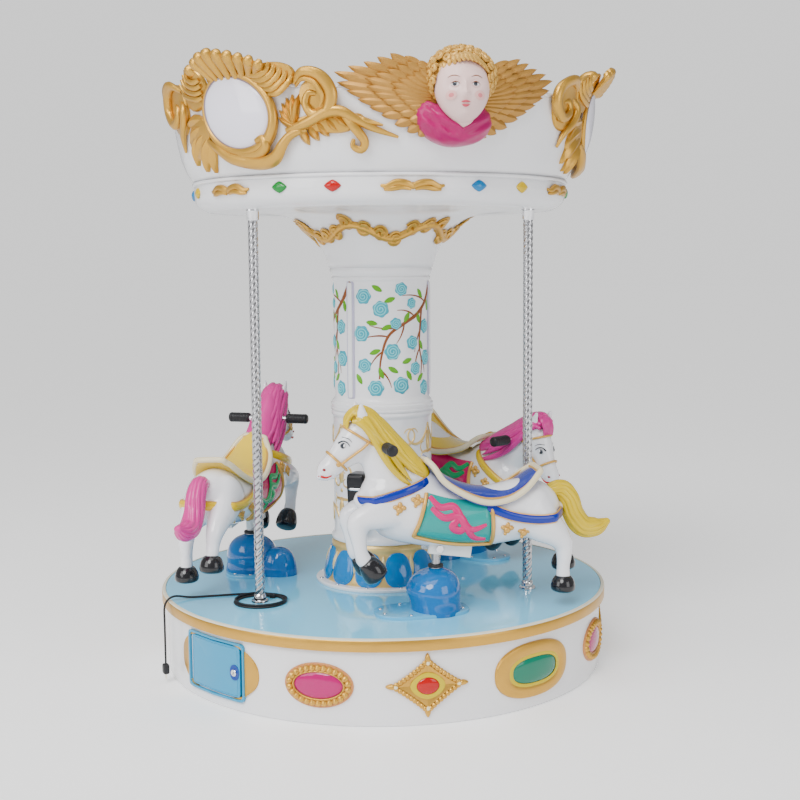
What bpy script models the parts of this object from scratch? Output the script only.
"""Three-seat children's carousel: a fixed drum base, a turning deck with its column, canopy,
three twisted poles and three rocking horses, and a coin door in the drum.
Metres, +Z up. The origin is on the turning axis, level with the underside of the base.
An angle is measured from the front (-Y) towards +X, as seen on the drum's face."""
import bpy
import bmesh
import numpy as np
from math import cos, sin, pi, radians
from mathutils import Matrix

# Driving sizes, in metres
SEAT_GAP = 0.0003
DECK_Z = 0.268
DECK_R = 0.7445
DECK_T = 0.016
BAND_R = 0.757
BAND_LOW = 0.230
WALL_R = 0.738
WALL_T = 0.012
WALL_TOP = 0.246
FLOOR_T = 0.018
POST_R = 0.11
FLANGE_R = 0.232
FOOT_TOP = 0.415
LOWER_TOP = 0.868
LOWER_R = 0.168
SHAFT_R = 0.160
SHAFT_TOP = 1.336
SOFFIT_Z = 1.520
STRIP_R = 0.617
STRIP_TOP = 1.612
CROWN_TOP = 1.868
CROWN_WAVE = 0.020
CROWN_T = 0.010
CROWN_SPLIT = 0.062
SOCKET_H = 0.032
POLE_R = 0.016
POLE_ORBIT = 0.512
POLE_ANGLE = -51.0
CHERUB_ANGLE = 18.5
CHERUBS = 2
LAMP_ANGLE = -37.0
LAMP_Z = 1.790
LAMP_HALF_X = 0.125
LAMP_HALF_Z = 0.095
DOOR_ANGLE = -45.0
DOOR_HALF = 9.6
DOOR_LOW = 0.045
DOOR_HIGH = 0.203
HORSE_ORBIT = 0.475
HORSE_ANGLES = (20.0, -101.0, 140.0)
HORSE_TURN = -6.0
HORSE_PITCH = (9.0, 7.0, -10.0)
PIVOT_Z = DECK_Z + 0.205

for old in list(bpy.data.objects):
    bpy.data.objects.remove(old, do_unlink=True)


def collection(name):
    """A collection of that name in the scene."""
    made = bpy.data.collections.new(name)
    bpy.context.scene.collection.children.link(made)
    return made


PARTS = collection("carousel")
CUTTERS = collection("cutters")


def paint(name, rgb, rough=0.35, metal=0.0):
    """A plain finish: colour, roughness and metallic value."""
    mat = bpy.data.materials.new(name)
    mat.use_nodes = True
    shader = mat.node_tree.nodes["Principled BSDF"]
    shader.inputs["Base Color"].default_value = (*rgb, 1.0)
    shader.inputs["Roughness"].default_value = rough
    shader.inputs["Metallic"].default_value = metal
    return mat


WHITE = (0.86, 0.85, 0.86)
GOLD = (0.72, 0.50, 0.16)
SKY = (0.22, 0.60, 0.84)
BLUE = (0.01, 0.22, 0.62)
DOOR_BLUE = (0.13, 0.38, 0.76)
STEEL = (0.62, 0.62, 0.64)
BLACK = (0.02, 0.02, 0.025)
YELLOW = (0.85, 0.70, 0.05)


def empty(name, place=(0, 0, 0), turn=(0, 0, 0), parent=None):
    """An empty that carries pieces and marks a joint's axis."""
    made = bpy.data.objects.new(name, None)
    PARTS.objects.link(made)
    made.location = place
    made.rotation_euler = turn
    made.parent = parent
    return made


def piece(name, mesh, rgb, rough=0.35, metal=0.0, parent=None, place=(0, 0, 0), turn=(0, 0, 0)):
    """A sub-part in the carousel's collection, with its own finish."""
    made = bpy.data.objects.new(name, mesh)
    PARTS.objects.link(made)
    made.location = place
    made.rotation_euler = turn
    made.parent = parent
    made.data.materials.clear()
    made.data.materials.append(paint(name, rgb, rough, metal))
    return made


def cutter(name, mesh, place=(0, 0, 0), turn=(0, 0, 0)):
    """A shape that only cuts or joins, kept out of the model."""
    made = bpy.data.objects.new(name, mesh)
    CUTTERS.objects.link(made)
    made.location = place
    made.rotation_euler = turn
    made.hide_render = True
    made.display_type = "WIRE"
    return made


def boolean(target, tool, kind="DIFFERENCE"):
    """Cuts target by tool, joins them or keeps what they share."""
    step = target.modifiers.new(kind.lower(), "BOOLEAN")
    step.operation = kind
    step.solver = "EXACT"
    step.object = tool
    return step


def mesh_of(obj):
    """The mesh of an object with its modifiers worked in, welded and smooth shaded; the object goes."""
    bpy.context.view_layer.update()
    graph = bpy.context.evaluated_depsgraph_get()
    mesh = bpy.data.meshes.new_from_object(obj.evaluated_get(graph))
    work = bmesh.new()
    work.from_mesh(mesh)
    bmesh.ops.remove_doubles(work, verts=work.verts, dist=0.00002)
    bmesh.ops.recalc_face_normals(work, faces=work.faces)
    work.to_mesh(mesh)
    work.free()
    mesh.shade_smooth()
    mesh.set_sharp_from_angle(angle=radians(35))
    bpy.data.objects.remove(obj, do_unlink=True)
    return mesh


def loose(mesh):
    """A mesh put in the scene only to be worked on."""
    made = bpy.data.objects.new("work", mesh)
    CUTTERS.objects.link(made)
    return made


def turned(profile, steps=48, closed=False):
    """A turned mesh from a profile of (radius, height) points, run down its outer side."""
    mesh = bpy.data.meshes.new("turned")
    count = len(profile)
    edges = [(i, i + 1) for i in range(count - 1)]
    if closed:
        edges.append((count - 1, 0))
    mesh.from_pydata([(r, 0.0, z) for r, z in profile], edges, [])
    obj = loose(mesh)
    screw = obj.modifiers.new("turn", "SCREW")
    screw.steps = steps
    screw.render_steps = steps
    screw.use_merge_vertices = True
    screw.merge_threshold = 0.00005
    return mesh_of(obj)


def extruded(points, depth, low=0.0):
    """A flat outline in XY, raised by depth from the height low."""
    flat = bpy.data.curves.new("outline", "CURVE")
    flat.dimensions = "2D"
    flat.fill_mode = "BOTH"
    flat.extrude = depth / 2
    spline = flat.splines.new("POLY")
    spline.points.add(len(points) - 1)
    for knot, (x, y) in zip(spline.points, points):
        knot.co = (x, y, 0.0, 1.0)
    spline.use_cyclic_u = True
    obj = bpy.data.objects.new("outline", flat)
    CUTTERS.objects.link(obj)
    mesh = mesh_of(obj)
    mesh.transform(Matrix.Translation((0, 0, low + depth / 2)))
    return mesh


def arc(radius, start, end, count):
    """Points on a level circle, from one angle to another, in degrees from the front."""
    turns = np.radians(np.linspace(start, end, count))
    return [(radius * sin(t), -radius * cos(t)) for t in turns]


def wedge(start, end, low, high, radius=1.0):
    """A pie slice between two angles, to split a ring into segments."""
    return extruded([(0.0, 0.0)] + arc(radius, start, end, 25), high - low, low)


def box(size, centre=(0, 0, 0), bevel=0.0):
    """A block, with rounded edges where bevel is given."""
    work = bmesh.new()
    bmesh.ops.create_cube(work, size=1.0, matrix=Matrix.Diagonal((*size, 1.0)))
    mesh = bpy.data.meshes.new("box")
    work.to_mesh(mesh)
    work.free()
    mesh.transform(Matrix.Translation(centre))
    if bevel:
        obj = loose(mesh)
        edge = obj.modifiers.new("edge", "BEVEL")
        edge.width = bevel
        edge.segments = 2
        mesh = mesh_of(obj)
    return mesh


def rod(radius, length, axis="Z", centre=(0, 0, 0), sides=24):
    """A round bar along an axis."""
    turn = {"X": Matrix.Rotation(pi / 2, 4, "Y"), "Y": Matrix.Rotation(pi / 2, 4, "X"), "Z": Matrix()}[axis]
    work = bmesh.new()
    bmesh.ops.create_cone(work, cap_ends=True, segments=sides, radius1=radius, radius2=radius, depth=length,
                          matrix=Matrix.Translation(centre) @ turn)
    mesh = bpy.data.meshes.new("rod")
    work.to_mesh(mesh)
    work.free()
    return mesh


def ball(half, centre=(0, 0, 0), tilt=0.0, rings=10, sides=16):
    """An ellipsoid of the given half sizes, tilted about X."""
    work = bmesh.new()
    place = Matrix.Translation(centre) @ Matrix.Rotation(tilt, 4, "X") @ Matrix.Diagonal((*half, 1.0))
    bmesh.ops.create_uvsphere(work, u_segments=sides, v_segments=rings, radius=1.0, matrix=place)
    mesh = bpy.data.meshes.new("ball")
    work.to_mesh(mesh)
    work.free()
    return mesh


def ring_faces(rows, sides):
    """The faces of a closed skin over stacked rings: side quads between rings, and a cap at each end."""
    near = np.arange(sides)
    far = (near + 1) % sides
    quads = [tuple(quad) for i in range(rows - 1) for quad in
             (np.stack([near, far, far + sides, near + sides], 1) + i * sides).tolist()]
    return quads + [tuple(range(sides)), tuple(range((rows - 1) * sides, rows * sides))]


def loft(stations, sides=10):
    """A closed skin through rings. A station is (centre, half up, half across): the ring lies square to
    the path through the centres, with its across direction level and square to the path."""
    centre = np.array([s[0] for s in stations], float)
    up_half = np.array([s[1] for s in stations], float)
    side_half = np.array([s[2] for s in stations], float)
    along = np.gradient(centre, axis=0)
    along /= np.linalg.norm(along, axis=1, keepdims=True)
    across = np.cross(along, (0.0, 0.0, 1.0))
    for i in range(len(across)):
        if np.linalg.norm(across[i]) < 0.2:
            across[i] = (0.0, 1.0, 0.0)
    across[:, 2] = 0.0
    across /= np.linalg.norm(across, axis=1, keepdims=True)
    flip = np.sign(np.sum(across * across[0], axis=1))
    across *= np.where(flip == 0, 1.0, flip)[:, None]
    up = np.cross(across, along)
    angle = np.arange(sides) * 2 * pi / sides
    ring = (centre[:, None] + up[:, None] * (np.cos(angle)[None, :, None] * up_half[:, None, None])
            + across[:, None] * (np.sin(angle)[None, :, None] * side_half[:, None, None]))
    rows = len(stations)
    mesh = bpy.data.meshes.new("loft")
    mesh.from_pydata(ring.reshape(-1, 3).tolist(), [], ring_faces(rows, sides))
    work = bmesh.new()
    work.from_mesh(mesh)
    bmesh.ops.recalc_face_normals(work, faces=work.faces)
    work.to_mesh(mesh)
    work.free()
    return mesh


def together(meshes):
    """Several meshes in one, still as loose shells."""
    work = bmesh.new()
    for mesh in meshes:
        work.from_mesh(mesh)
    joined = bpy.data.meshes.new("joined")
    work.to_mesh(joined)
    work.free()
    return joined


def moulded(meshes, voxel, keep):
    """One moulded skin over several overlapping shells, thinned to a share of its faces."""
    obj = loose(together(meshes))
    skin = obj.modifiers.new("skin", "REMESH")
    skin.mode = "VOXEL"
    skin.voxel_size = voxel
    smooth = obj.modifiers.new("soften", "SMOOTH")
    smooth.factor = 0.5
    smooth.iterations = 3
    thin = obj.modifiers.new("thin", "DECIMATE")
    thin.ratio = keep
    return mesh_of(obj)


def cut_mesh(mesh, tools, kind="DIFFERENCE"):
    """A mesh cut by, or joined with, each of the tool meshes in turn."""
    obj = loose(mesh)
    helpers = []
    for tool in tools:
        helper = cutter("tool", tool)
        boolean(obj, helper, kind)
        helpers.append(helper)
    made = mesh_of(obj)
    for helper in helpers:
        bpy.data.objects.remove(helper, do_unlink=True)
    return made


# Fixed base: the wall in three curved segments, with raised pads under the cast jewels
BASE = empty("base_axis")
ring_profile = [(WALL_R + 0.001, WALL_TOP), (WALL_R, 0.006), (WALL_R - 0.004, 0.0),
                (WALL_R - WALL_T, 0.0), (WALL_R - WALL_T, WALL_TOP)]
PAD_SIZE = {"oval": (0.105, 0.067), "diamond": (0.110, 0.082), "oblong": (0.150, 0.086)}
PAD_GROUP = (("oval", -15.2), ("diamond", 9.8), ("oblong", 38.0))
GROUP_STEP = 82.7
PAD_COUNT = 11
ORNAMENT_Z = 0.122
pad_ring = [(WALL_R + 0.008, 0.24), (WALL_R + 0.008, 0.0), (WALL_R - 0.006, 0.0), (WALL_R - 0.006, 0.24)]


def pad(kind, angle):
    """A raised pad on the wall: an oval, a diamond or a rounded oblong."""
    half_x, half_z = PAD_SIZE[kind]
    if kind == "diamond":
        outline = [(half_x, 0.0), (0.0, half_z), (-half_x, 0.0), (0.0, -half_z)]
    else:
        power = 1.0 if kind == "oval" else 0.6
        turn = np.arange(12) * 2 * pi / 12
        outline = [(half_x * np.sign(cos(t)) * abs(cos(t)) ** power,
                    half_z * np.sign(sin(t)) * abs(sin(t)) ** power) for t in turn]
    mesh = extruded(outline, 0.08, WALL_R - 0.04)
    stand = Matrix.Rotation(pi / 2, 4, "X")
    mesh.transform(Matrix.Translation((0, 0, ORNAMENT_Z)) @ stand)
    mesh = cut_mesh(turned(pad_ring, 72, closed=True), [mesh], "INTERSECT")
    mesh.transform(Matrix.Rotation(radians(angle), 4, "Z"))
    return mesh


def wall_segment(name, start, end):
    """One curved wall panel between two angles, with its pads moulded on."""
    shell = cut_mesh(turned(ring_profile, 72, closed=True), [wedge(start, end, -0.1, 0.4)], "INTERSECT")
    pads = []
    for slot in range(PAD_COUNT):
        kind, first = PAD_GROUP[slot % 3]
        angle = first + GROUP_STEP * (slot // 3)
        if start < angle < end:
            pads.append(pad(kind, angle))
    shell = cut_mesh(shell, [together(pads)], "UNION") if pads else shell
    return piece(name, shell, WHITE, parent=BASE)


SPLIT = 0.02
door_start = DOOR_ANGLE - 13.5
door_end = DOOR_ANGLE + 15.0
far_split = 137.0
door_wall = wall_segment("wall_door_segment", door_start + SPLIT, door_end - SPLIT)
wall_segment("wall_right_segment", door_end + SPLIT, far_split - SPLIT)
wall_segment("wall_left_segment", far_split + SPLIT, door_start + 360 - SPLIT)
hole_high = DOOR_HIGH + 0.004
hole_low = DOOR_LOW - 0.004
hole_half = DOOR_HALF + 0.3
hole_ring = turned([(0.80, hole_high), (0.80, hole_low), (0.60, hole_low),
                    (0.60, hole_high)], 96, closed=True)
opening = cut_mesh(hole_ring, [wedge(DOOR_ANGLE - hole_half, DOOR_ANGLE + hole_half, -0.1, 0.4)], "INTERSECT")
boolean(door_wall, cutter("door_opening", opening))

piece("base_floor", turned([(0, FLOOR_T), (WALL_R - WALL_T - 0.001, FLOOR_T),
                            (WALL_R - WALL_T - 0.001, 0), (0, 0)], 60), (0.35, 0.35, 0.36), parent=BASE)
post_top = DECK_Z - DECK_T - SEAT_GAP
NECK_R = 0.07
post_foot = FLOOR_T + SEAT_GAP
piece("bearing_post", turned([(0, post_top), (POST_R, post_top), (POST_R, post_top - 0.02),
                              (NECK_R, post_top - 0.03), (NECK_R, FLOOR_T + 0.02),
                              (POST_R + 0.03, FLOOR_T + 0.012),
                              (POST_R + 0.03, post_foot), (0, post_foot)], 18),
      STEEL, 0.4, 0.8, parent=BASE)

# Coin compartment: an open box behind the door, and the frame set in the wall
door_turn = (0, 0, radians(DOOR_ANGLE))
TRAY_HALF = 0.131
TRAY_DEPTH = 0.16
TRAY_WALL = 0.004
tray_height = DOOR_HIGH - DOOR_LOW + 0.020
tray_face = ((WALL_R - WALL_T - 0.0008)**2 - TRAY_HALF**2)**0.5 - SEAT_GAP
tray_mid = (DOOR_HIGH + DOOR_LOW) / 2
tray = cut_mesh(box((2 * TRAY_HALF, TRAY_DEPTH, tray_height), (0, -tray_face + TRAY_DEPTH / 2, tray_mid)),
                [box((2 * (TRAY_HALF - TRAY_WALL), TRAY_DEPTH, tray_height - 2 * TRAY_WALL),
                     (0, -tray_face + TRAY_DEPTH / 2 - TRAY_WALL, tray_mid))])
piece("coin_box_liner", tray, STEEL, 0.5, 0.7, parent=BASE, turn=door_turn)


def curved_plate(half_deg, low, high, inner, outer):
    """A curved plate that follows the wall, centred on the front."""
    ring = turned([(outer, high), (outer, low), (inner, low), (inner, high)], 96, closed=True)
    return cut_mesh(ring, [wedge(-half_deg, half_deg, -0.1, 0.4)], "INTERSECT")


frame_out = curved_plate(DOOR_HALF + 1.7, DOOR_LOW - 0.016, DOOR_HIGH + 0.016, WALL_R + 0.0026,
                         WALL_R + 0.010)
frame_in = curved_plate(DOOR_HALF + 0.35, DOOR_LOW - 0.005, DOOR_HIGH + 0.005, WALL_R - 0.02, WALL_R + 0.05)
door_reach = DOOR_HALF - 0.55
hinge_r = WALL_R + 0.005
KNUCKLE_R = 0.004
lug_spot = (-hinge_r * sin(radians(door_reach)), -hinge_r * cos(radians(door_reach)))
lugs = [rod(KNUCKLE_R, 0.010, centre=(*lug_spot, DOOR_HIGH + SEAT_GAP + 0.005), sides=12),
        rod(KNUCKLE_R, 0.010, centre=(*lug_spot, DOOR_LOW - SEAT_GAP - 0.005), sides=12)]
piece("door_frame", cut_mesh(cut_mesh(frame_out, [frame_in]), lugs, "UNION"), (0.02, 0.26, 0.62), parent=BASE,
      turn=door_turn)

hinge_angle = DOOR_ANGLE - door_reach
HINGE = empty("door_hinge", (hinge_r * sin(radians(hinge_angle)), -hinge_r * cos(radians(hinge_angle)), 0))
door_plate = curved_plate(door_reach, DOOR_LOW, DOOR_HIGH, WALL_R - 0.002, WALL_R + 0.006)
door_plate.transform(Matrix.Rotation(radians(DOOR_ANGLE), 4, "Z"))
door_plate.transform(Matrix.Translation(-HINGE.location))
knuckle = rod(KNUCKLE_R, DOOR_HIGH - DOOR_LOW, centre=(0, 0, (DOOR_HIGH + DOOR_LOW) / 2), sides=12)
piece("coin_door_panel", cut_mesh(door_plate, [knuckle], "UNION"), DOOR_BLUE, parent=HINGE)
lock = rod(0.009, 0.008, "Y", (0, -(WALL_R + 0.0063 + 0.004), 0), 16)
lock.transform(Matrix.Rotation(radians(DOOR_ANGLE + DOOR_HALF - 2.2), 4, "Z"))
lock.transform(Matrix.Translation((-HINGE.location.x, -HINGE.location.y, 0.122)))
piece("door_lock", lock, STEEL, 0.3, 1.0, parent=HINGE)

# Turning deck with its gold edge band
TURN = empty("turntable_axis")
piece("deck", turned([(0, DECK_Z), (DECK_R, DECK_Z), (DECK_R, DECK_Z - DECK_T),
                      (0, DECK_Z - DECK_T)], 60), SKY, 0.15, parent=TURN)
band_in = DECK_R + SEAT_GAP
band = turned([(band_in, DECK_Z + 0.001), (BAND_R - 0.003, DECK_Z + 0.0005), (BAND_R, DECK_Z - 0.006),
               (BAND_R, BAND_LOW), (band_in, BAND_LOW)], 60, closed=True)
piece("rim_band", band, GOLD, 0.35, 0.6, parent=TURN)

# Column from the bolted flange up to the collar under the canopy
flange_top = DECK_Z + 0.012
piece("column_flange", turned([(0, flange_top), (FLANGE_R - 0.004, flange_top),
                               (FLANGE_R, DECK_Z + SEAT_GAP), (0, DECK_Z + SEAT_GAP)], 40),
      WHITE, parent=TURN)
foot_low = flange_top + SEAT_GAP
piece("column_foot", turned([(0, FOOT_TOP), (0.170, FOOT_TOP), (0.176, FOOT_TOP - 0.012),
                             (0.176, FOOT_TOP - 0.03), (0.190, FOOT_TOP - 0.07), (0.203, foot_low + 0.015),
                             (0.203, foot_low), (0, foot_low)], 28), BLUE, parent=TURN)
lower_low = FOOT_TOP + SEAT_GAP
piece("column_lower", turned([(0, LOWER_TOP), (LOWER_R, LOWER_TOP), (LOWER_R + 0.008, LOWER_TOP - 0.012),
                              (LOWER_R, LOWER_TOP - 0.024), (LOWER_R, lower_low + 0.02),
                              (LOWER_R + 0.008, lower_low + 0.01), (LOWER_R + 0.006, lower_low),
                              (0, lower_low)], 28), WHITE, parent=TURN)
shaft_low = LOWER_TOP + SEAT_GAP
piece("column_shaft", turned([(0, SHAFT_TOP), (0.174, SHAFT_TOP), (0.174, SHAFT_TOP - 0.026),
                              (SHAFT_R, SHAFT_TOP - 0.030), (SHAFT_R, shaft_low + 0.014),
                              (0.170, shaft_low + 0.010), (0.170, shaft_low), (0, shaft_low)], 28),
      WHITE, parent=TURN)
CONTROL_ANGLE = radians(-23.0)
CONTROL_SIZE = (0.066, 0.075, 0.19)
control_r = LOWER_R + 0.026
control = cut_mesh(box(CONTROL_SIZE, bevel=0.006),
                   [rod(LOWER_R + SEAT_GAP, 0.4, centre=(0, control_r, 0), sides=120)])
piece("control_box", control, BLACK, parent=TURN, turn=(0, 0, CONTROL_ANGLE),
      place=(control_r * sin(CONTROL_ANGLE), -control_r * cos(CONTROL_ANGLE), 0.57))

# Canopy: the trumpet bowl with its moulded strip, the roof disc and three crown panels
bowl_low = SHAFT_TOP + SEAT_GAP
bowl_outer = [(STRIP_R - 0.02, STRIP_TOP), (STRIP_R, STRIP_TOP), (STRIP_R, 1.552), (0.594, 1.530),
              (0.560, SOFFIT_Z), (0.460, SOFFIT_Z), (0.340, 1.512), (0.265, 1.480), (0.208, 1.415),
              (0.176, bowl_low)]
bowl_inner = [(0.150, bowl_low), (0.190, 1.43), (0.330, 1.530), (0.565, 1.538)]
piece("canopy_bowl", turned(bowl_outer + bowl_inner, 32, closed=True), WHITE, 0.25, parent=TURN)
roof_low = STRIP_TOP + SEAT_GAP
roof_r = STRIP_R - 0.016
roof_top = roof_low + 0.012
piece("canopy_roof", turned([(0, roof_top), (roof_r, roof_top), (roof_r, roof_low), (0, roof_low)], 48),
      WHITE, parent=TURN)
CROWN_PROFILE = [(0.6165, 0.0), (0.640, 0.036), (0.657, 0.082), (0.669, 0.14), (0.679, 0.21), (0.686, 0.26)]
crown_low = STRIP_TOP + SEAT_GAP


def crown_radius(height):
    """The crown's outer radius at a height over its foot."""
    return np.interp(height, [h for _, h in CROWN_PROFILE], [r for r, _ in CROWN_PROFILE])


def crown_rim(angle):
    """The crown's top edge: it rises behind each cherub and lamp, and dips between them."""
    return CROWN_TOP - crown_low + CROWN_WAVE * np.cos(np.radians(6 * (angle - CHERUB_ANGLE)))


def crown_panel(start, end):
    """An open sheet that flares out and up to the wavy rim, then thickened inwards."""
    angle = np.linspace(start, end, 17)[:, None]
    below = np.array([h for _, h in CROWN_PROFILE[:-1]])[None, :] + 0.0 * angle
    height = np.concatenate([below, crown_rim(angle)], axis=1)
    radius = crown_radius(height)
    turn = np.radians(angle)
    grid = np.stack([radius * np.sin(turn), -radius * np.cos(turn), crown_low + height], -1)
    rows, cols = height.shape
    faces = [(i * cols + j, (i + 1) * cols + j, (i + 1) * cols + j + 1, i * cols + j + 1)
             for i in range(rows - 1) for j in range(cols - 1)]
    mesh = bpy.data.meshes.new("crown")
    mesh.from_pydata(grid.reshape(-1, 3).tolist(), [], faces)
    obj = loose(mesh)
    wall = obj.modifiers.new("wall", "SOLIDIFY")
    wall.thickness = CROWN_T
    wall.offset = -1.0
    wall.use_even_offset = True
    return mesh_of(obj)


CUT_SIDES = 60
round_out = 1.0 / cos(pi / CUT_SIDES)
crown_cut = turned([(0, 2.2), (0.75, 2.2), (0.690, crown_low + 0.27)]
                   + [(r * round_out + SEAT_GAP, crown_low + h) for r, h in reversed(CROWN_PROFILE)]
                   + [(0, crown_low)], CUT_SIDES)

# Cast lamp frame, cherub and lamp glass, modelled at the front and turned to their places. Three lamps
# leave three bays, and a cherub sits in two of them
lean = radians(12.0)
lamp_y = -0.702
LENS_T = 0.022
LENS_GAP = 0.0005
lens_size = (LAMP_HALF_X, LENS_T, LAMP_HALF_Z)
lens = ball(lens_size, (0, lamp_y, LAMP_Z), lean, 6, 20)
lens_seat = ball([half + LENS_GAP for half in lens_size], (0, lamp_y, LAMP_Z), lean, 6, 20)


def on_crown(angle, z, out=0.012):
    """A point just outside the crown's face at an angle in degrees and a height."""
    radius = float(crown_radius(z - crown_low)) + out
    return (radius * sin(radians(angle)), -radius * cos(radians(angle)), z)


frame_shells = [
    ball((LAMP_HALF_X + 0.034, 0.030, LAMP_HALF_Z + 0.034), (0, lamp_y + 0.012, LAMP_Z), lean, 12, 28),
    loft([(on_crown(-14, 1.90), 0.020, 0.02), (on_crown(-8, 1.915, 0.024), 0.030, 0.026),
          (on_crown(-3, 1.930, 0.030), 0.034, 0.028), (on_crown(4, 1.918, 0.028), 0.034, 0.028),
          (on_crown(10, 1.900, 0.020), 0.028, 0.022), (on_crown(15, 1.875), 0.024, 0.020)]),
    loft([(on_crown(12, 1.86), 0.030, 0.020), (on_crown(19, 1.860), 0.026, 0.022),
          (on_crown(24, 1.842), 0.024, 0.024), (on_crown(25, 1.800), 0.024, 0.022),
          (on_crown(21, 1.775), 0.024, 0.020)]),
    loft([(on_crown(12, 1.745), 0.034, 0.022), (on_crown(20, 1.762), 0.038, 0.024),
          (on_crown(27, 1.752), 0.036, 0.022), (on_crown(33, 1.725), 0.030, 0.020),
          (on_crown(38, 1.714), 0.018, 0.014), (on_crown(42, 1.704), 0.008, 0.008)]),
    loft([(on_crown(17, 1.722, 0.016), 0.020, 0.018), (on_crown(9, 1.678, 0.016), 0.026, 0.020),
          (on_crown(0, 1.668, 0.016), 0.026, 0.020), (on_crown(-11, 1.705, 0.016), 0.028, 0.020),
          (on_crown(-18, 1.720), 0.034, 0.022), (on_crown(-22, 1.760), 0.034, 0.022),
          (on_crown(-28, 1.800), 0.030, 0.020), (on_crown(-28, 1.855), 0.030, 0.020),
          (on_crown(-20, 1.880), 0.028, 0.020), (on_crown(-13, 1.90), 0.024, 0.018)]),
]
lamp_frame = cut_mesh(moulded(frame_shells, 0.009, 0.014), [crown_cut, lens_seat])

HEAD_Z = 1.842
HEAD_Y = -0.735
wing_path = [(8.5, 1.802, 0.082, 0.024), (13, 1.835, 0.092, 0.026), (18, 1.846, 0.078, 0.022),
             (23, 1.856, 0.048, 0.018), (28, 1.872, 0.016, 0.010)]
wings = [loft([(on_crown(side * a, z, 0.014), up, across) for a, z, up, across in wing_path])
         for side in (-1, 1)]
cherub_shells = wings + [
    ball((0.070, 0.058, 0.086), (0, HEAD_Y, HEAD_Z), 0.0),
    ball((0.102, 0.056, 0.084), (0, HEAD_Y + 0.018, HEAD_Z + 0.034), 0.0),
    loft([((0, HEAD_Y + 0.012, HEAD_Z - 0.11), 0.03, 0.040),
          ((0, HEAD_Y + 0.006, HEAD_Z - 0.05), 0.03, 0.040)]),
    ball((0.106, 0.048, 0.058), (0, -0.706, 1.722), 0.0),
    ball((0.150, 0.020, 0.100), (0, -0.692, 1.800), 0.0),
]
cherub = cut_mesh(moulded(cherub_shells, 0.010, 0.028), [crown_cut])

for number in range(3):
    step = 120.0 * number
    valley = CHERUB_ANGLE + 30.0
    panel = crown_panel(valley - 120 + CROWN_SPLIT + step, valley - CROWN_SPLIT + step)
    piece(f"crown_panel_{number + 1}", panel, WHITE, 0.25, parent=TURN)
    lamp_turn = (0, 0, radians(LAMP_ANGLE + step))
    piece(f"lamp_lens_{number + 1}", lens.copy(), (0.85, 0.84, 0.88), 0.15, parent=TURN, turn=lamp_turn)
    piece(f"lamp_frame_{number + 1}", lamp_frame.copy(), GOLD, 0.35, 0.6, parent=TURN, turn=lamp_turn)
    if number < CHERUBS:
        piece(f"cherub_{number + 1}", cherub.copy(), GOLD, 0.35, 0.4, parent=TURN,
              turn=(0, 0, radians(CHERUB_ANGLE + step)))

# Twisted steel poles, each with a foot on the deck and a socket under the canopy
pole_low = DECK_Z + SEAT_GAP
pole_high = SOFFIT_Z - SEAT_GAP
socket_low = pole_high - SOCKET_H
SOCKET_R = 0.020
POLE_FOOT_R = 0.028
pole_profile = [(0, pole_high), (SOCKET_R, pole_high), (SOCKET_R, socket_low), (POLE_R, socket_low - 0.004),
                (POLE_R, pole_low + 0.016), (SOCKET_R, pole_low + 0.012), (POLE_FOOT_R, pole_low + 0.006),
                (POLE_FOOT_R, pole_low), (0, pole_low)]
for number in range(3):
    angle = radians(POLE_ANGLE + 120.0 * number)
    piece(f"pole_{number + 1}", turned(pole_profile, 14), STEEL, 0.2, 1.0, parent=TURN,
          place=(POLE_ORBIT * sin(angle), -POLE_ORBIT * cos(angle), 0))

# Horse, modelled level about its rocking pin, nose towards -X and outer side towards -Y


def at(forward, up, out=0.0):
    """A point on the horse: forward of the pin, above it, and out towards the deck's edge."""
    return (-forward, -out, up)


def limb(points):
    """A rounded limb through (forward, up, out, radius) points."""
    return loft([(at(f, u, o), r, r * 0.92) for f, u, o, r in points], 10)


trunk = loft([(at(-0.385, 0.165), 0.020, 0.020), (at(-0.370, 0.160), 0.048, 0.045),
              (at(-0.33, 0.155), 0.080, 0.074),
              (at(-0.26, 0.143), 0.094, 0.090), (at(-0.16, 0.110), 0.096, 0.092),
              (at(-0.04, 0.098), 0.098, 0.092),
              (at(0.07, 0.108), 0.108, 0.092), (at(0.15, 0.125), 0.110, 0.086),
              (at(0.21, 0.130), 0.090, 0.070),
              (at(0.245, 0.120), 0.058, 0.045), (at(0.256, 0.115), 0.020, 0.020)], 14)
neck = loft([(at(0.09, 0.130), 0.095, 0.062), (at(0.15, 0.190), 0.086, 0.056),
             (at(0.205, 0.250), 0.074, 0.048),
             (at(0.250, 0.305), 0.062, 0.042), (at(0.275, 0.340), 0.048, 0.036)], 12)
head = loft([(at(0.262, 0.352), 0.030, 0.028), (at(0.282, 0.322), 0.062, 0.042),
             (at(0.315, 0.280), 0.060, 0.041), (at(0.345, 0.240), 0.045, 0.034),
             (at(0.368, 0.208), 0.036, 0.031),
             (at(0.384, 0.188), 0.028, 0.026), (at(0.392, 0.178), 0.014, 0.014)], 12)
ears = [limb([(0.298, 0.358, side * 0.024, 0.016), (0.315, 0.392, side * 0.030, 0.006)]) for side in (-1, 1)]
mane = loft([(at(0.345, 0.345, 0.008), 0.016, 0.014), (at(0.343, 0.385, 0.006), 0.022, 0.020),
             (at(0.295, 0.392), 0.030, 0.030), (at(0.235, 0.360), 0.046, 0.034),
             (at(0.170, 0.305), 0.052, 0.036),
             (at(0.110, 0.262), 0.040, 0.032), (at(0.062, 0.246), 0.014, 0.014)], 10)
tail = limb([(-0.345, 0.215, 0, 0.022), (-0.385, 0.222, 0, 0.030), (-0.425, 0.180, 0, 0.040),
             (-0.460, 0.135, 0, 0.045), (-0.510, 0.118, 0, 0.038), (-0.550, 0.128, 0, 0.020),
             (-0.570, 0.138, 0, 0.008)])
LEG_OUT = 0.052
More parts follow.
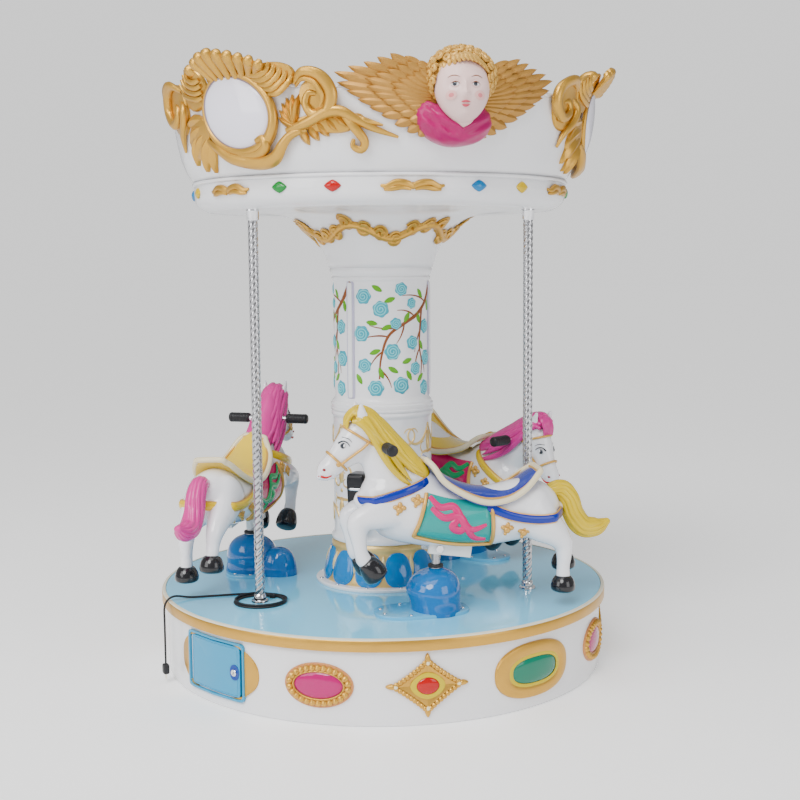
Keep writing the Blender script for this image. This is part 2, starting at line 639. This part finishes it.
fore_legs = [
    limb(rows) for side in (LEG_OUT, -LEG_OUT) for rows in (
        [(0.150, 0.110, side, 0.050), (0.225, 0.085, side, 0.044), (0.275, 0.062, side, 0.036),
         (0.262, 0.010, side, 0.030), (0.235, -0.045, side, 0.026)],
        [(0.245, -0.030, side, 0.024), (0.225, -0.055, side, 0.030), (0.190, -0.088, side, 0.038),
         (0.178, -0.100, side, 0.030)])]
hind_legs = [
    limb([(-0.290, 0.150, LEG_OUT, 0.070), (-0.335, 0.105, LEG_OUT, 0.058), (-0.385, 0.075, LEG_OUT, 0.040),
          (-0.405, 0.030, LEG_OUT, 0.030), (-0.412, -0.045, LEG_OUT, 0.026)]),
    limb([(-0.412, -0.030, LEG_OUT, 0.028), (-0.418, -0.062, LEG_OUT, 0.036),
          (-0.428, -0.100, LEG_OUT, 0.040)]),
    limb([(-0.290, 0.155, -LEG_OUT, 0.070), (-0.345, 0.115, -LEG_OUT, 0.056),
          (-0.400, 0.092, -LEG_OUT, 0.040), (-0.425, 0.055, -LEG_OUT, 0.030),
          (-0.448, 0.015, -LEG_OUT, 0.026)]),
    limb([(-0.444, 0.020, -LEG_OUT, 0.028), (-0.456, -0.005, -LEG_OUT, 0.036),
          (-0.468, -0.030, -LEG_OUT, 0.040)]),
]


def saddle_shape(grow=0.0):
    """The seat: a long shell that dips between a raised front and back."""
    rows = [(0.078, 0.262, 0.010, 0.030), (0.062, 0.262, 0.024, 0.050), (0.025, 0.232, 0.026, 0.076),
            (-0.040, 0.200, 0.024, 0.094), (-0.110, 0.190, 0.024, 0.100), (-0.180, 0.200, 0.024, 0.096),
            (-0.235, 0.226, 0.026, 0.084), (-0.275, 0.262, 0.022, 0.062), (-0.292, 0.280, 0.010, 0.040)]
    return loft([(at(f, u), up + grow, across + grow) for f, u, up, across in rows], 12)


BAR_AT = (0.222, 0.296)
BAR_HALF = 0.15
bracket_size = (0.136, 0.086, 0.058)
bracket_at = (0.036, 0.0, 0.012)
bar_hole = rod(0.0116, 0.4, "Y", at(*BAR_AT), 14)
notch = box((bracket_size[0] + 0.001, bracket_size[1] + 0.001, bracket_size[2] + 0.001), bracket_at)
horse_mesh = cut_mesh(moulded([trunk, neck, head, mane, tail] + ears + fore_legs + hind_legs, 0.011, 0.040),
                      [saddle_shape(0.0006), bar_hole, notch])
channel = box((0.2, 0.054, 0.060), (0.036, 0, -0.008))
pin = rod(0.007, bracket_size[1] - 0.002, "Y", (0, 0, 0), 16)
bracket_mesh = cut_mesh(cut_mesh(box(bracket_size, bracket_at), [channel]), [pin], "UNION")
grip_x = at(*BAR_AT)[0]
grip = [rod(0.018, 0.078, "Y", (grip_x, side * (BAR_HALF - 0.039), BAR_AT[1]), 14) for side in (-1, 1)]
bar_mesh = cut_mesh(rod(0.011, 2 * BAR_HALF - 0.02, "Y", at(*BAR_AT), 14), grip, "UNION")

# Blue fairing on the deck, and the steel rod that rises from it to the horse's pin
fairing_low = DECK_Z + SEAT_GAP
FAIRING_TOP = 0.138
FAIRING_SIDES = 16
fairing_rows = [(0.0, 0.0, 0.082, 0.098), (0.012, 0.0, 0.080, 0.094), (0.040, -0.004, 0.078, 0.088),
                (0.070, -0.010, 0.086, 0.088), (0.100, -0.006, 0.078, 0.078), (0.122, -0.002, 0.058, 0.058),
                (0.134, 0.0, 0.032, 0.032), (FAIRING_TOP, 0.0, 0.020, 0.020)]


def fairing():
    """The housing over the rocking gear: oval rings stacked up to a dome, with a low apron behind."""
    rings = []
    turn = np.arange(FAIRING_SIDES) * 2 * pi / FAIRING_SIDES
    for z, shift, along, across in fairing_rows:
        rings.append(np.stack([shift + along * np.cos(turn), across * np.sin(turn), 0 * turn + z], -1))
    mesh = bpy.data.meshes.new("fairing")
    mesh.from_pydata(np.concatenate(rings).tolist(), [], ring_faces(len(fairing_rows), FAIRING_SIDES))
    dome = mesh_of(loose(mesh))
    apron = turned([(0, 0.020), (0.116, 0.020), (0.130, 0.012), (0.130, 0.0), (0, 0.0)], 16)
    apron.transform(Matrix.Diagonal((1.0, 0.92, 1.0, 1.0)))
    lobe = ball((0.060, 0.075, 0.060), (0.0, 0.095, 0.036), 0.0, 6, 12)
    lobe = cut_mesh(lobe, [box((0.4, 0.4, 0.1), (0, 0.1, -0.05))])
    return cut_mesh(dome, [apron, lobe], "UNION")


fairing_mesh = fairing()
ROD_R = 0.0135
RING_R = 0.019
rod_foot = fairing_low + FAIRING_TOP + SEAT_GAP - PIVOT_Z
rod_mesh = turned([(0, 0.0), (ROD_R, 0.0), (ROD_R, rod_foot + 0.008), (RING_R, rod_foot + 0.005),
                   (RING_R, rod_foot), (0, rod_foot)], 12)
rod_mesh = cut_mesh(rod_mesh, [rod(0.016, 0.042, "Y", (0, 0, 0), 16)], "UNION")
rod_mesh = cut_mesh(rod_mesh, [rod(0.0073, 0.1, "Y", (0, 0, 0), 16)])
for number, (angle, pitch) in enumerate(zip(HORSE_ANGLES, HORSE_PITCH), 1):
    spot = (HORSE_ORBIT * sin(radians(angle)), -HORSE_ORBIT * cos(radians(angle)))
    heading = radians(angle + HORSE_TURN)
    piece(f"fairing_{number}", fairing_mesh.copy(), BLUE, 0.15, parent=TURN, place=(*spot, fairing_low),
          turn=(0, 0, heading))
    piece(f"rod_{number}", rod_mesh.copy(), STEEL, 0.25, 1.0, parent=TURN, place=(*spot, PIVOT_Z),
          turn=(0, 0, heading))
    rock = empty(f"horse_{number}_pin", (*spot, PIVOT_Z), (0, radians(pitch), heading), TURN)
    piece(f"horse_{number}_body", horse_mesh.copy(), WHITE, 0.25, parent=rock)
    piece(f"horse_{number}_saddle", saddle_shape(), (BLUE if number == 1 else YELLOW), 0.3, parent=rock)
    piece(f"horse_{number}_handlebar", bar_mesh.copy(), BLACK, 0.5, parent=rock)
    piece(f"horse_{number}_bracket", bracket_mesh.copy(), WHITE, 0.4, parent=rock)

# Supply lead, stowed on the turning deck: from its gland it winds round the foot of the left pole,
# runs out over the gold edge and hangs beside the wall with its plug clear of the floor
LEAD_R = 0.0035
LEAD_ROUNDING = 2
COIL_IN = 0.074
COIL_OUT = 0.092
COIL_H = 0.014
pole_foot = np.array([POLE_ORBIT * sin(radians(POLE_ANGLE)), -POLE_ORBIT * cos(radians(POLE_ANGLE))])
lead_z = DECK_Z + SEAT_GAP + LEAD_R
BEND = 0.037
BEND_R = 0.7345
BEND_Z = 0.2455
HANG_R = BEND_R + BEND
HANG_ANGLE = -67.0
PLUG_TOP = 0.062


def beside(radius, angle, z):
    """A point at a distance from the turning axis, an angle and a height."""
    return (radius * sin(radians(angle)), -radius * cos(radians(angle)), z)


def smooth_route(points, count):
    """A smooth curve through the points, read at even steps: a cubic between each pair."""
    knots = np.array(points, float)
    slope = np.gradient(knots, axis=0)
    step = np.linspace(0, len(knots) - 1, count * 8)
    lower = np.minimum(step.astype(int), len(knots) - 2)
    t = (step - lower)[:, None]
    curve = ((2 * t**3 - 3 * t**2 + 1) * knots[lower] + (t**3 - 2 * t**2 + t) * slope[lower]
             + (3 * t**2 - 2 * t**3) * knots[lower + 1] + (t**3 - t**2) * slope[lower + 1])
    length = np.concatenate([[0.0], np.cumsum(np.linalg.norm(np.diff(curve, axis=0), axis=1))])
    even = np.linspace(0, length[-1], count)
    return np.stack([np.interp(even, length, curve[:, k]) for k in range(3)], 1)


def tube(name, points, radius):
    """A round lead along a path, with flat ends."""
    path = bpy.data.curves.new(name, "CURVE")
    path.dimensions = "3D"
    path.bevel_depth = radius
    path.bevel_resolution = LEAD_ROUNDING
    path.use_fill_caps = True
    spline = path.splines.new("POLY")
    spline.points.add(len(points) - 1)
    for knot, (x, y, z) in zip(spline.points, points):
        knot.co = (x, y, z, 1.0)
    made = bpy.data.objects.new(name, path)
    PARTS.objects.link(made)
    made.parent = TURN
    path.materials.append(paint(name, BLACK, 0.5))
    return made


coil_low = DECK_Z + SEAT_GAP
coil_section = [(COIL_OUT, COIL_H), (COIL_OUT, 0.0), (COIL_IN, 0.0), (COIL_IN, COIL_H)]
coil_ring = turned(coil_section, 24, closed=True)
piece("cord_coil", coil_ring, BLACK, 0.5, parent=TURN, place=(*pole_foot, coil_low))
leave = pole_foot + np.array([0.0, COIL_OUT + LEAD_R + 0.0005])
over_edge = [beside(BEND_R + BEND * sin(turn), HANG_ANGLE, BEND_Z + BEND * cos(turn))
             for turn in np.radians((0.0, 30.0, 60.0, 90.0))]
cord_route = [
    (leave[0] + 0.022, leave[1] - 0.0025, lead_z), (leave[0] - 0.012, leave[1] + 0.0008, lead_z),
    (leave[0] - 0.052, leave[1], lead_z), (leave[0] - 0.100, leave[1] - 0.009, lead_z),
    beside(0.600, -65.8, lead_z), beside(0.646, -66.6, lead_z), beside(0.680, -66.9, lead_z + 0.001),
    beside(0.708, HANG_ANGLE, lead_z + 0.0055), *over_edge, beside(HANG_R, HANG_ANGLE, 0.205),
    beside(HANG_R, HANG_ANGLE, 0.160), beside(HANG_R, HANG_ANGLE, 0.110),
    beside(HANG_R, HANG_ANGLE, PLUG_TOP + SEAT_GAP)]
tube("cord_tube", smooth_route(cord_route, 54), LEAD_R)
plug = box((0.030, 0.020, 0.034), (0, 0, -0.017), 0.004)
plug = cut_mesh(plug, [box((0.006, 0.0016, 0.018), (side * 0.0075, 0, -0.042)) for side in (-1, 1)], "UNION")
piece("cord_plug", plug, BLACK, 0.5, parent=TURN, place=beside(HANG_R, HANG_ANGLE, PLUG_TOP),
      turn=(0, 0, radians(HANG_ANGLE)))

# The gland is a small outlet screwed to the deck inside the coil, with a tapered sleeve that holds the
# lead as the first turn starts
GLAND_ANGLE = radians(60.0)
GLAND_OUT = 0.0625
GLAND_R = 0.0068
GLAND_TIP_R = 0.0045
GLAND_TIP = 0.030
GLAND_BACK = 0.004
sleeve = turned([(0, GLAND_TIP), (GLAND_TIP_R, GLAND_TIP), (GLAND_R, GLAND_BACK), (GLAND_R, 0.0),
                 (0, 0.0)], 14)
sleeve.transform(Matrix.Rotation(-pi / 2, 4, "X"))
outlet = box((0.014, 0.020, 2 * GLAND_R), (0, GLAND_BACK - 0.010, 0), 0.002)
gland = cut_mesh(outlet, [sleeve], "UNION")
gland.transform(Matrix.Translation((GLAND_OUT, 0, GLAND_R)))
piece("cord_gland", gland, BLACK, 0.5, parent=TURN, place=(*pole_foot, coil_low), turn=(0, 0, GLAND_ANGLE))

bpy.context.view_layer.update()
